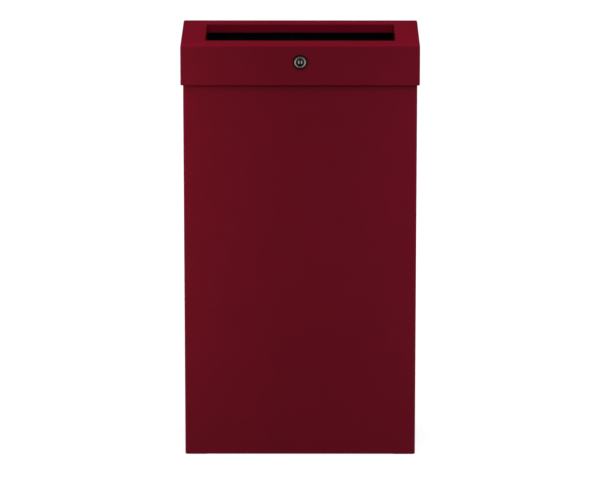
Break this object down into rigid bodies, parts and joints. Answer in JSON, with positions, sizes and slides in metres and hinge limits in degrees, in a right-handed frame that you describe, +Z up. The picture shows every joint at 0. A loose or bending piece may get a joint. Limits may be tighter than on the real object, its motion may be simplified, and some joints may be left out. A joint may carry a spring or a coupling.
{
  "type": "waste bin",
  "caption": "Tall rectangular sheet-steel waste bin with a hinged deep-skirted lid, a waste slot in the lid, a key lock and a lift-out inner bucket.",
  "frame": {"origin": "on the floor, under the middle of the whole bin's box", "axes": "+Z up, the lock and front face -Y, +X to the viewer's right when facing the front"},
  "size_m": [0.33, 0.1784, 0.588],
  "materials": {
    "powder_coat": "satin",
    "bright_metal": "polished",
    "zinc": "satin",
    "dark_metal": "satin",
    "rubber": "matte",
    "black_plastic": "matte"
  },
  "bodies": {
    "body": {"body_wrapper": "powder_coat", "back_panel": "powder_coat", "base_pan": "powder_coat", "foot_front_left": "rubber", "foot_front_right": "rubber", "foot_rear_left": "rubber", "foot_rear_right": "rubber", "foot_rivets": "zinc", "lid_buffers": "rubber", "hinge_leaf_body": "zinc", "hinge_pin": "bright_metal", "hinge_rivets": "zinc", "inner_liner": "black_plastic"},
    "lid": {"lid_shell": "powder_coat", "hinge_leaf_lid": "zinc", "lock_housing": "bright_metal", "lock_gasket": "rubber", "lock_washer": "zinc", "lock_nut": "zinc"},
    "lock_rotor": {"lock_plug": "bright_metal", "lock_plug_cap": "dark_metal", "lock_stop_washer": "zinc", "lock_cam": "zinc", "cam_washer": "zinc", "cam_screw": "zinc"}
  },
  "joints": [
    {"name": "lid_hinge", "type": "hinge", "parent": "body", "child": "lid", "pos_m": [0, 0.0844, 0.5836], "axis": [-1, 0, 0], "range_deg": [0, 98]},
    {"name": "lock_turn", "type": "hinge", "parent": "lid", "child": "lock_rotor", "pos_m": [0, -0.0868, 0.5646], "axis": [0, 1, 0], "range_deg": [0, 90]}
  ]
}
